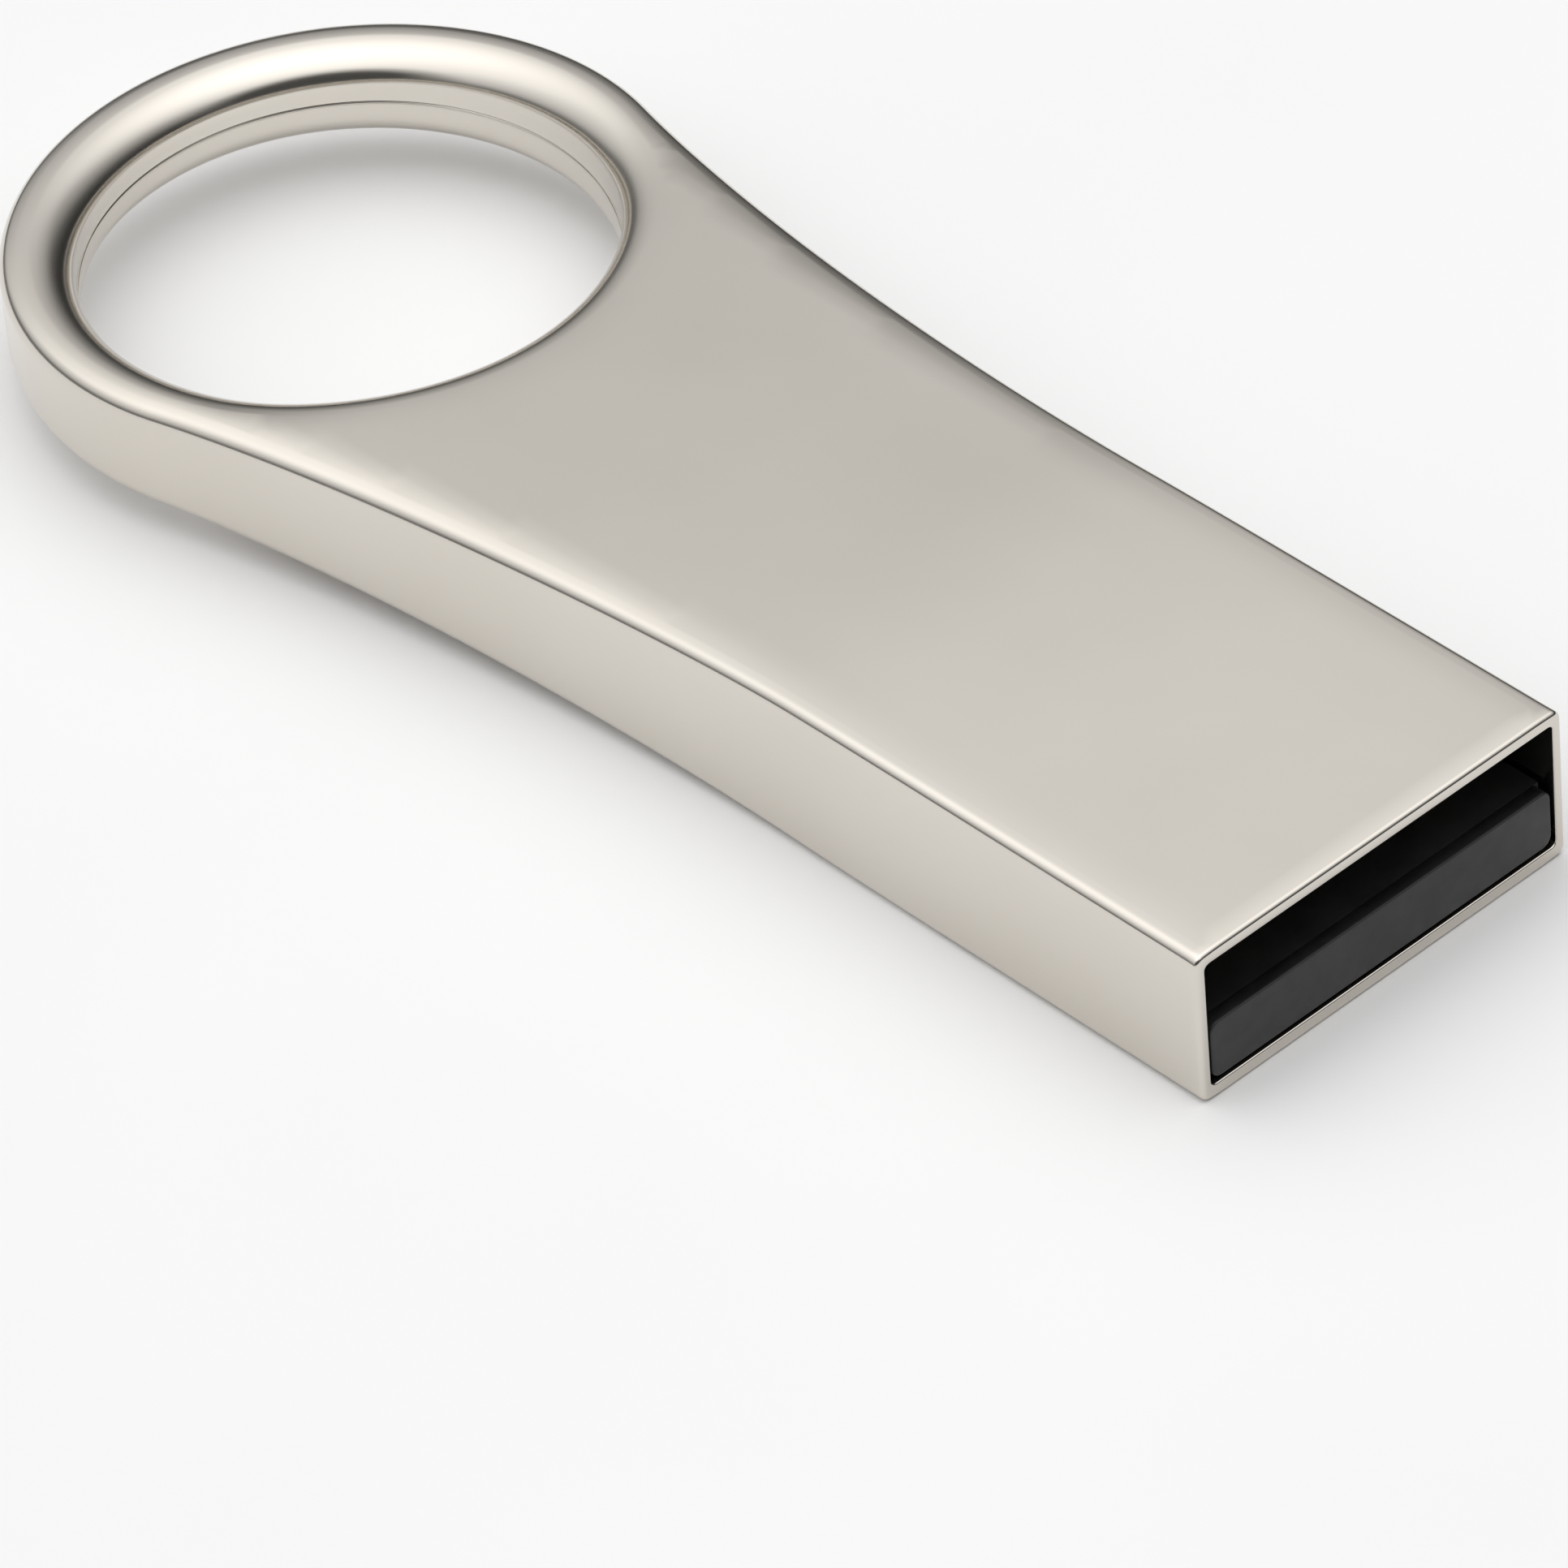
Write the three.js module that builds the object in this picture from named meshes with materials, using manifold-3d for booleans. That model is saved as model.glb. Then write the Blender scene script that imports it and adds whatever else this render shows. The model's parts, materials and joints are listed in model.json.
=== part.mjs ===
// A metal USB flash drive whose casing ends in a key ring loop.
//
// Frame, in millimetres: the drive lies flat on Z = 0, X runs along it with the plug
// at +X and the ring at -X, and Y runs across it. The origin is under the middle of
// the whole drive.

import * as THREE from 'three';
import { mergeVertices } from 'three/addons/utils/BufferGeometryUtils.js';
import Module from 'manifold-3d';

// Casing: one die casting. Its straight end is the shell of a standard USB plug. The
// ring's hole sits RING_HOLE_SHIFT nearer the plug than the ring's outside does.
const CASING_HEIGHT = 4.4;
const PLUG_HALF_WIDTH = 6.0;
const RING_RADIUS = 8.6;
const RING_HOLE_RADIUS = 6.8;
const RING_HOLE_SHIFT = 0.1;
const RING_TO_PLUG_END = 35.8;
const EDGE_WIDTH = 0.3;
const EDGE_HEIGHT = 0.45;
const EDGE_STEPS = 3;
const CURVE_STEPS = 28;

// The plug end is straight and of even thickness for PLUG_LENGTH. Behind it the top and
// the underside close in on each other, down to TIP_THICKNESS at the far end of the ring.
// There the middle of the thickness lies TIP_RISE above the middle of the plug.
const PLUG_LENGTH = 13.5;
const TIP_THICKNESS = 2.5;
const TIP_RISE = 0.19;

// The sides leave the ring at NECK_ANGLE from +X and run to the plug on one Bezier
// curve each. The two handles set how long the curve follows the ring and the plug.
const NECK_ANGLE = THREE.MathUtils.degToRad(75.5);
const NECK_RING_HANDLE = 6.5;
const NECK_PLUG_HANDLE = 4.3;

// Pocket, blind in front of the ring. It is tall in the plug and lower behind it, where
// the casing is thinner.
const POCKET_HALF_WIDTH = 5.7;
const MOUTH_FLOOR = 0.4;
const MOUTH_CEILING = 4.05;
const REAR_FLOOR = 0.8;
const REAR_CEILING = 3.6;
const POCKET_DEPTH = 26.0;
const POCKET_CORNER_RADIUS = 0.3;

// Stack inside the pocket. The tray's floor is as high as the floor of the rear pocket,
// so the module lies flat on both.
const TAPE_THICKNESS = 0.1;
const MOULD_THICKNESS = 1.05;
const SUBSTRATE_THICKNESS = 0.3;
const CONTACT_THICKNESS = 0.05;

// Carrier, the black plastic that holds the memory module in the pocket.
const CARRIER_HALF_WIDTH = 5.6;
const TRAY_RECESS = 0.05;
const TRAY_FRONT_WALL = 0.4;
const COVER_CLEARANCE = 0.1;
const COVER_WALL = 0.7;
const COVER_ROOF = 0.5;

// Memory module: contacts on top of a laminate, chips under it, moulded into one block.
const MODULE_LENGTH = 24.8;
const TAPE_MARGIN = 1.5;
const CONTACT_END = 8.6;
const CONTACTS = [
  { name: 'contact_vbus', y: 3.5, start: 1.2, width: 1.2 },
  { name: 'contact_d_minus', y: 1.0, start: 2.2, width: 1.0 },
  { name: 'contact_d_plus', y: -1.0, start: 2.2, width: 1.0 },
  { name: 'contact_ground', y: -3.5, start: 1.2, width: 1.2 },
];

// Each chip sits on a film of adhesive. Places are back from the module's front end.
const FILM_THICKNESS = 0.05;
const FILM_MARGIN = 0.1;
const DIES = [
  { name: 'memory_die', back: 8.4, y: 0, length: 8.6, width: 9.4, thickness: 0.3 },
  { name: 'controller_die', back: 16.6, y: 1.6, length: 3.4, width: 3.2, thickness: 0.3 },
];

// Small parts soldered to the underside of the laminate.
const SMALL_PARTS = [
  { name: 'crystal', back: 20.9, y: -2.6, length: 3.2, width: 2.5, height: 0.75, material: 'can' },
  { name: 'capacitor_1', back: 2.2, y: 3.6, length: 1.0, width: 0.5, height: 0.5, material: 'ceramic' },
  { name: 'capacitor_2', back: 2.2, y: -3.6, length: 1.0, width: 0.5, height: 0.5, material: 'ceramic' },
  { name: 'capacitor_3', back: 15.2, y: -2.2, length: 1.0, width: 0.5, height: 0.5, material: 'ceramic' },
  { name: 'capacitor_4', back: 22.8, y: 2.6, length: 1.0, width: 0.5, height: 0.5, material: 'ceramic' },
  { name: 'resistor_1', back: 15.2, y: -3.6, length: 1.0, width: 0.5, height: 0.35, material: 'resistor' },
  { name: 'resistor_2', back: 22.8, y: 0.6, length: 1.0, width: 0.5, height: 0.35, material: 'resistor' },
];

// Places worked out from the sizes above.
const LENGTH = RING_RADIUS + RING_TO_PLUG_END;
const PLUG_END_X = LENGTH / 2;
const RING_X = PLUG_END_X - RING_TO_PLUG_END;
const POCKET_END_X = PLUG_END_X - POCKET_DEPTH;
const TRAY_FRONT_X = PLUG_END_X - TRAY_RECESS;
const MODULE_FRONT_X = TRAY_FRONT_X - TRAY_FRONT_WALL;
const MODULE_REAR_X = MODULE_FRONT_X - MODULE_LENGTH;
const TAPER_X = PLUG_END_X - PLUG_LENGTH;
const MIDDLE_Z = CASING_HEIGHT / 2;
const TAPE_TOP = MOUTH_FLOOR + TAPE_THICKNESS;
const MOULD_TOP = REAR_FLOOR + MOULD_THICKNESS;
const SUBSTRATE_TOP = MOULD_TOP + SUBSTRATE_THICKNESS;

const CUT_OVERRUN = 2;
const MERGE_DISTANCE = 1e-5;
const wasm = await Module();
wasm.setup();

const MATERIALS = {
  nickel: material('#cbc4b9', 0.3, 1),
  plastic: material('#2b2b2c', 0.5, 0),
  laminate: material('#1f2a22', 0.45, 0),
  epoxy: material('#1a1a1b', 0.6, 0),
  gold: material('#d9b25a', 0.3, 1),
  silicon: material('#5c6068', 0.2, 0.4),
  film: material('#8a6a3a', 0.6, 0),
  tape: material('#e2ddd0', 0.8, 0),
  glue: material('#d8d2bc', 0.5, 0),
  can: material('#b9bcc0', 0.3, 1),
  ceramic: material('#a98a62', 0.6, 0),
  resistor: material('#232326', 0.5, 0),
};

function material(color, roughness, metalness) {
  return new THREE.MeshStandardMaterial({ color, roughness, metalness });
}

// A closed geometry as a solid that can be cut.
function toSolid(geometry) {
  geometry.deleteAttribute('normal');
  geometry.deleteAttribute('uv');
  const merged = mergeVertices(geometry, MERGE_DISTANCE);
  const mesh = new wasm.Mesh({
    numProp: 3,
    vertProperties: merged.attributes.position.array,
    triVerts: new Uint32Array(merged.index.array),
  });
  return new wasm.Manifold(mesh);
}

// The cut solid as a geometry again.
function toGeometry(solid) {
  const mesh = solid.getMesh();
  const geometry = new THREE.BufferGeometry();
  geometry.setAttribute('position', new THREE.BufferAttribute(mesh.vertProperties, 3));
  geometry.setIndex(new THREE.BufferAttribute(mesh.triVerts, 1));
  geometry.computeVertexNormals();
  return geometry;
}

// A block between two corners.
function block(low, high) {
  const size = new THREE.Vector3().subVectors(high, low);
  const middle = new THREE.Vector3().addVectors(low, high).multiplyScalar(0.5);
  return new THREE.BoxGeometry(size.x, size.y, size.z).translate(middle.x, middle.y, middle.z);
}

function corner(x, y, z) {
  return new THREE.Vector3(x, y, z);
}

// The plan outline, drawn once round from the plug's +Y side, with the ring's hole in it.
function casingOutline() {
  const neckX = RING_X + RING_RADIUS * Math.cos(NECK_ANGLE);
  const neckY = RING_RADIUS * Math.sin(NECK_ANGLE);
  const ringHandleX = neckX + NECK_RING_HANDLE * Math.sin(NECK_ANGLE);
  const ringHandleY = neckY - NECK_RING_HANDLE * Math.cos(NECK_ANGLE);
  const plugHandleX = TAPER_X - NECK_PLUG_HANDLE;

  const outline = new THREE.Shape();
  outline.moveTo(PLUG_END_X + CUT_OVERRUN, PLUG_HALF_WIDTH);
  outline.lineTo(TAPER_X, PLUG_HALF_WIDTH);
  outline.bezierCurveTo(plugHandleX, PLUG_HALF_WIDTH, ringHandleX, ringHandleY, neckX, neckY);
  outline.absarc(RING_X, 0, RING_RADIUS, NECK_ANGLE, 2 * Math.PI - NECK_ANGLE, false);
  outline.bezierCurveTo(
    ringHandleX, -ringHandleY, plugHandleX, -PLUG_HALF_WIDTH, TAPER_X, -PLUG_HALF_WIDTH);
  outline.lineTo(PLUG_END_X + CUT_OVERRUN, -PLUG_HALF_WIDTH);

  const hole = new THREE.Path();
  hole.absarc(RING_X + RING_HOLE_SHIFT, 0, RING_HOLE_RADIUS, 0, 2 * Math.PI, true);
  outline.holes.push(hole);
  return outline;
}

// The casting before its taper and pocket: the outline with every edge rounded.
function casingBlank() {
  const geometry = new THREE.ExtrudeGeometry(casingOutline(), {
    depth: CASING_HEIGHT - 2 * EDGE_HEIGHT,
    curveSegments: CURVE_STEPS,
    bevelEnabled: true,
    bevelThickness: EDGE_HEIGHT,
    bevelSize: EDGE_WIDTH,
    bevelOffset: -EDGE_WIDTH,
    bevelSegments: EDGE_STEPS,
  });
  return toSolid(geometry.translate(0, 0, EDGE_HEIGHT));
}

// All the space between two places along the drive.
function slab(lowX, highX) {
  const low = corner(lowX, -LENGTH, -CUT_OVERRUN);
  return toSolid(block(low, corner(highX, LENGTH, CASING_HEIGHT + CUT_OVERRUN)));
}

// Squeezes the part of a solid behind TAPER_X towards its middle height, which rises.
// Both change in proportion to the way behind TAPER_X.
function taper(solid) {
  const geometry = toGeometry(solid);
  const position = geometry.attributes.position;
  const tipX = PLUG_END_X - LENGTH;
  const squeezeAtTip = 1 - TIP_THICKNESS / CASING_HEIGHT;
  for (let i = 0; i < position.count; i += 1) {
    const way = Math.max(0, (TAPER_X - position.getX(i)) / (TAPER_X - tipX));
    const height = position.getZ(i) - MIDDLE_Z;
    const middle = MIDDLE_Z + TIP_RISE * way;
    position.setZ(i, middle + height * (1 - squeezeAtTip * way));
  }
  return toSolid(geometry);
}

// A rectangle with round corners, in the plane across the drive.
function roundedSection(halfWidth, low, high, radius) {
  const section = new THREE.Shape();
  section.moveTo(halfWidth, low + radius);
  section.absarc(halfWidth - radius, high - radius, radius, 0, Math.PI / 2, false);
  section.absarc(radius - halfWidth, high - radius, radius, Math.PI / 2, Math.PI, false);
  section.absarc(radius - halfWidth, low + radius, radius, Math.PI, 1.5 * Math.PI, false);
  section.absarc(halfWidth - radius, low + radius, radius, 1.5 * Math.PI, 2 * Math.PI, false);
  return section;
}

// The pocket in the plug, with round corners, run past the plug end to open the mouth.
function mouthCutter() {
  const section = roundedSection(
    POCKET_HALF_WIDTH, MOUTH_FLOOR, MOUTH_CEILING, POCKET_CORNER_RADIUS);
  const geometry = new THREE.ExtrudeGeometry(section, {
    depth: PLUG_LENGTH + CUT_OVERRUN,
    curveSegments: EDGE_STEPS,
    bevelEnabled: false,
  });
  const acrossUpAlong = new THREE.Matrix4().makeBasis(
    new THREE.Vector3(0, 1, 0), new THREE.Vector3(0, 0, 1), new THREE.Vector3(1, 0, 0));
  return toSolid(geometry.applyMatrix4(acrossUpAlong).translate(TAPER_X, 0, 0));
}

// The square pocket behind it, which the module fits.
function rearCutter() {
  return toSolid(block(
    corner(POCKET_END_X, -POCKET_HALF_WIDTH, REAR_FLOOR),
    corner(TAPER_X + CUT_OVERRUN, POCKET_HALF_WIDTH, REAR_CEILING)));
}

function casing() {
  const blank = casingBlank();
  const behindPlug = slab(-LENGTH, TAPER_X);
  const plug = blank.intersect(slab(-LENGTH, PLUG_END_X)).subtract(behindPlug);
  const tail = taper(blank.intersect(behindPlug));
  return toGeometry(plug.add(tail).subtract(mouthCutter()).subtract(rearCutter()));
}

// A floor as long as the plug, with a wall across its front end: the tongue's face.
function carrierTray() {
  const blank = toSolid(block(
    corner(TAPER_X, -CARRIER_HALF_WIDTH, TAPE_TOP),
    corner(TRAY_FRONT_X, CARRIER_HALF_WIDTH, SUBSTRATE_TOP)));
  const seat = toSolid(block(
    corner(TAPER_X - CUT_OVERRUN, -2 * CARRIER_HALF_WIDTH, REAR_FLOOR),
    corner(MODULE_FRONT_X, 2 * CARRIER_HALF_WIDTH, SUBSTRATE_TOP + CUT_OVERRUN)));
  return toGeometry(blank.subtract(seat));
}

// A lid over the module behind the plug, hollow underneath on both sides of a middle rib.
function carrierCover() {
  const top = REAR_CEILING - COVER_CLEARANCE;
  const lid = toSolid(block(
    corner(MODULE_REAR_X, -CARRIER_HALF_WIDTH, SUBSTRATE_TOP),
    corner(TAPER_X, CARRIER_HALF_WIDTH, top)));
  const hollowLow = MODULE_REAR_X + COVER_WALL;
  const hollowHigh = TAPER_X - COVER_WALL;
  const hollowSide = CARRIER_HALF_WIDTH - COVER_WALL;
  const left = toSolid(block(
    corner(hollowLow, COVER_WALL / 2, SUBSTRATE_TOP - CUT_OVERRUN),
    corner(hollowHigh, hollowSide, top - COVER_ROOF)));
  const right = toSolid(block(
    corner(hollowLow, -hollowSide, SUBSTRATE_TOP - CUT_OVERRUN),
    corner(hollowHigh, -COVER_WALL / 2, top - COVER_ROOF)));
  return toGeometry(lid.subtract(left).subtract(right));
}

// Double-sided tape between the floor of the mouth and the tray.
function adhesiveTape() {
  return block(
    corner(TAPER_X + TAPE_MARGIN, TAPE_MARGIN - CARRIER_HALF_WIDTH, MOUTH_FLOOR),
    corner(TRAY_FRONT_X - TAPE_MARGIN, CARRIER_HALF_WIDTH - TAPE_MARGIN, TAPE_TOP));
}

// Glue that fills the end of the pocket behind the module.
function glueBead() {
  return block(
    corner(POCKET_END_X, TAPE_MARGIN - CARRIER_HALF_WIDTH, REAR_FLOOR),
    corner(MODULE_REAR_X, CARRIER_HALF_WIDTH - TAPE_MARGIN, SUBSTRATE_TOP));
}

function moduleSubstrate() {
  return block(
    corner(MODULE_REAR_X, -CARRIER_HALF_WIDTH, MOULD_TOP),
    corner(MODULE_FRONT_X, CARRIER_HALF_WIDTH, SUBSTRATE_TOP));
}

function contact({ y, start, width }) {
  return block(
    corner(MODULE_FRONT_X - CONTACT_END, y - width / 2, SUBSTRATE_TOP),
    corner(MODULE_FRONT_X - start, y + width / 2, SUBSTRATE_TOP + CONTACT_THICKNESS));
}

// A block under the laminate: its middle is set back from the module's front end, and
// its top is a given gap below the laminate.
function underSubstrate({ back, y, length, width }, gap, height) {
  const middleX = MODULE_FRONT_X - back;
  return block(
    corner(middleX - length / 2, y - width / 2, MOULD_TOP - gap - height),
    corner(middleX + length / 2, y + width / 2, MOULD_TOP - gap));
}

function dieFilm({ back, y, length, width }) {
  const size = { back, y, length: length + 2 * FILM_MARGIN, width: width + 2 * FILM_MARGIN };
  return underSubstrate(size, 0, FILM_THICKNESS);
}

// The black block moulded round the chips, with a seat for each thing that it covers.
function mouldCap() {
  let solid = toSolid(block(
    corner(MODULE_REAR_X, -CARRIER_HALF_WIDTH, REAR_FLOOR),
    corner(MODULE_FRONT_X, CARRIER_HALF_WIDTH, MOULD_TOP)));
  for (const die of DIES) {
    solid = solid.subtract(toSolid(underSubstrate(die, 0, FILM_THICKNESS + die.thickness)));
    solid = solid.subtract(toSolid(dieFilm(die)));
  }
  for (const item of SMALL_PARTS) {
    solid = solid.subtract(toSolid(underSubstrate(item, 0, item.height)));
  }
  return toGeometry(solid);
}

const drive = new THREE.Group();

function add(name, geometry, finish) {
  const mesh = new THREE.Mesh(geometry, MATERIALS[finish].clone());
  mesh.name = name;
  drive.add(mesh);
}

add('casing', casing(), 'nickel');
add('adhesive_tape', adhesiveTape(), 'tape');
add('glue_bead', glueBead(), 'glue');
add('carrier_tray', carrierTray(), 'plastic');
add('carrier_cover', carrierCover(), 'plastic');
add('module_substrate', moduleSubstrate(), 'laminate');
add('mould_cap', mouldCap(), 'epoxy');

for (const pad of CONTACTS) {
  add(pad.name, contact(pad), 'gold');
}

for (const die of DIES) {
  add(`${die.name}_film`, dieFilm(die), 'film');
  add(die.name, underSubstrate(die, FILM_THICKNESS, die.thickness), 'silicon');
}

for (const item of SMALL_PARTS) {
  add(item.name, underSubstrate(item, 0, item.height), item.material);
}

export default drive;
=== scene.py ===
import json
import math

import bmesh
import bpy
import numpy as np
from mathutils import Matrix, Vector
from mathutils.geometry import delaunay_2d_cdt


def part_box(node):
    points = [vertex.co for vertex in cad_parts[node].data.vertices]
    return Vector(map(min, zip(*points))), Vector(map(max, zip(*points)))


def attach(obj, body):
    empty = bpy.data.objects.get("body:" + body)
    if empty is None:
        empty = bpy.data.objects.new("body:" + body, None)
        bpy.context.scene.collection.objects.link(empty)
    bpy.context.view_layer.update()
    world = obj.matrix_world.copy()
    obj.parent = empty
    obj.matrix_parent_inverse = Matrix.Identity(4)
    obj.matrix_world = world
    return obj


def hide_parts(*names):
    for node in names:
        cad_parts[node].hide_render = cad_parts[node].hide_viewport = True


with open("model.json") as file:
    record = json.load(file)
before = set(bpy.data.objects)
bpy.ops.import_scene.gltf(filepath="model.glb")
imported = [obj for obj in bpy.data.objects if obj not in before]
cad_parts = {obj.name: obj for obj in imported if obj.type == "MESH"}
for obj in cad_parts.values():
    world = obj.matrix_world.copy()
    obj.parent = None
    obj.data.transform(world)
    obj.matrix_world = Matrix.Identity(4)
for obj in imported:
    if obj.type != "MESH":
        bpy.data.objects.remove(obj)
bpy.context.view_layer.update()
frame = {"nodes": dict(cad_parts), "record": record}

# Lengths below are in millimetres, in the CAD's frame: X along the drive with the plug
# at +X, Y across it, and Z up from the surface that it lies on.
MM = 0.001
casing_low, casing_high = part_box("casing")
tray_low, tray_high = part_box("carrier_tray")
cover_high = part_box("carrier_cover")[1]
glue_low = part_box("glue_bead")[0]

PLUG_X = casing_high[0] / MM
TIP_X = casing_low[0] / MM
RING_RADIUS = casing_high[1] / MM
RING_X = TIP_X + RING_RADIUS
RING_HOLE_RADIUS = 6.8
RING_HOLE_SHIFT = 0.1
HOLE_X = RING_X + RING_HOLE_SHIFT
HALF_HEIGHT = casing_high[2] / MM / 2
PLUG_HALF_WIDTH = 6.0

# The top and the underside are level along the plug and close in behind TAPER_X. At the
# ring's tip the middle of the thickness lies TIP_RISE above the middle of the plug.
TAPER_X = cover_high[0] / MM
TIP_HALF_HEIGHT = 1.25
TIP_RISE = 0.19
TAPER_BLEND = 1.5

# One Bezier curve joins each side of the plug to the ring.
NECK_ANGLE = math.radians(75.5)
NECK_RING_HANDLE = 6.5
NECK_PLUG_HANDLE = 4.3

# Edges. A shallow crown runs along the outline and ends in a tight round edge. It drops
# most on the ring, and least in front of CROWN_PLUG_X. The hole's edges are one large
# soft round each, and the ring slopes a little to them. In front of the hole that slope
# is less. It starts to change at HOLE_CROWN_FADE in front of the hole's centre.
EDGE_WIDTH = 0.25
EDGE_HEIGHT = 0.27
CROWN_WIDTH = 0.90
CROWN_POWER = 2.0
CROWN_AT_PLUG = 0.035
CROWN_AT_RING = 0.20
CROWN_PLUG_X = TAPER_X + 5.0
CROWN_RING_X = TAPER_X - 14.0
HOLE_EDGE_WIDTH = 0.85
HOLE_EDGE_HEIGHT = 0.58
HOLE_CROWN_WIDTH = 1.6
HOLE_CROWN_ON_RING = 0.28
HOLE_CROWN_IN_FRONT = 0.05
HOLE_CROWN_POWER = 2
HOLE_CROWN_FADE = 2.5
RIM_ROUND = 0.13
MOUTH_ROUND = 0.05

# The casting's parting line: a fine ridge round the middle of the hole's wall. The wall
# has rows of points at these heights, in ridge widths, on both sides of the ridge's top.
PARTING_HEIGHT = 0.035
PARTING_WIDTH = 0.03
PARTING_ROWS = (5, 3, 2, 1.5, 1, 0.5, 0, -0.5, -1, -1.5, -2, -3, -5)

# The pocket, as in the CAD.
POCKET_HALF_WIDTH = 5.7
MOUTH_FLOOR = 0.40
MOUTH_CEILING = 4.05
MOUTH_CORNER = 0.15
REAR_FLOOR = 0.80
REAR_CEILING = 3.60
REAR_CORNER = 0.05
POCKET_END_X = glue_low[0] / MM

# How finely the skin is drawn. The outline and the hole have bands of rows along them,
# OUTER_BAND and HOLE_BAND wide. The rest of a face is a grid, which keeps FACE_GAP of a
# step clear of them. AT_ONCE points are measured together.
ARC_STEPS = 280
NECK_STEPS = 130
SIDE_STEPS = 60
FRONT_ARC_STEPS = 190
MOUTH_STEPS = 90
EDGE_ROWS = 10
FLAT_ROWS = 4
WALL_ROWS = 6
RIM_ROWS = 6
MOUTH_ROWS = 4
POCKET_ROWS = 6
MOUTH_STRAIGHT = 1.0
OUTER_BAND = 0.50
HOLE_BAND = 1.10
FACE_GRID = 0.45
FACE_GAP = 0.5
AT_ONCE = 500
WELD_DISTANCE = 0.001


def mesh_object(name, vertices, faces):
    """A smooth closed piece from points in millimetres."""
    mesh = bpy.data.meshes.new(name)
    mesh.from_pydata([tuple(c * MM for c in v) for v in vertices], [], faces)
    shape = bmesh.new()
    shape.from_mesh(mesh)
    bmesh.ops.remove_doubles(shape, verts=shape.verts, dist=WELD_DISTANCE * MM)
    bmesh.ops.recalc_face_normals(shape, faces=shape.faces)
    for face in shape.faces:
        face.smooth = True
    shape.to_mesh(mesh)
    shape.free()
    piece = bpy.data.objects.new(name, mesh)
    bpy.context.scene.collection.objects.link(piece)
    return piece


# ---------------------------------------------------------------- casing

def smooth_step(value, low, high):
    """A soft step from 0 at low to 1 at high."""
    t = np.clip((value - low) / (high - low), 0, 1)
    return t * t * (3 - 2 * t)


def taper_share(x):
    """How far along the taper x lies, from 0 at the plug's end to 1 at the ring's tip."""
    behind = TAPER_X - x
    way = 0.5 * (behind + np.sqrt(behind * behind + TAPER_BLEND ** 2))
    level = 0.5 * (TAPER_X - PLUG_X + math.hypot(TAPER_X - PLUG_X, TAPER_BLEND))
    return (way - level) / (TAPER_X - TIP_X)


def half_height(x):
    """Half of the casing's thickness before its edges are rounded."""
    return HALF_HEIGHT - (HALF_HEIGHT - TIP_HALF_HEIGHT) * taper_share(x)


def middle_rise(x):
    """How far the middle of the casing's thickness lies above the plug's."""
    return TIP_RISE * taper_share(x)


def round_drop(distance, width, height):
    """How far a quarter ellipse lies below the face, at a distance in from its edge."""
    t = 1 - np.clip(distance / width, 0, 1)
    return height * (1 - np.sqrt(np.maximum(1 - t * t, 0)))


def crown_height(x):
    """How far the crown along the outline drops by its edge."""
    near_plug = smooth_step(x, CROWN_RING_X, CROWN_PLUG_X)
    return CROWN_AT_RING + (CROWN_AT_PLUG - CROWN_AT_RING) * near_plug


def hole_crown_height(x):
    """How far the slope to the hole drops by the hole's edge."""
    in_front = smooth_step(x, HOLE_X + HOLE_CROWN_FADE, HOLE_X + RING_HOLE_RADIUS)
    return HOLE_CROWN_ON_RING + (HOLE_CROWN_IN_FRONT - HOLE_CROWN_ON_RING) * in_front


def face_height(x, from_outline, from_hole):
    """Height of the top face above the middle of the casing."""
    rim = 1 - np.clip(from_outline / CROWN_WIDTH, 0, 1)
    crown = crown_height(x) * rim ** CROWN_POWER
    edge = round_drop(from_outline, EDGE_WIDTH, EDGE_HEIGHT)
    near_hole = 1 - np.clip(from_hole / HOLE_CROWN_WIDTH, 0, 1)
    hole_crown = hole_crown_height(x) * near_hole ** HOLE_CROWN_POWER
    hole = round_drop(from_hole, HOLE_EDGE_WIDTH, HOLE_EDGE_HEIGHT)
    return half_height(x) - crown - edge - hole_crown - hole


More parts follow.
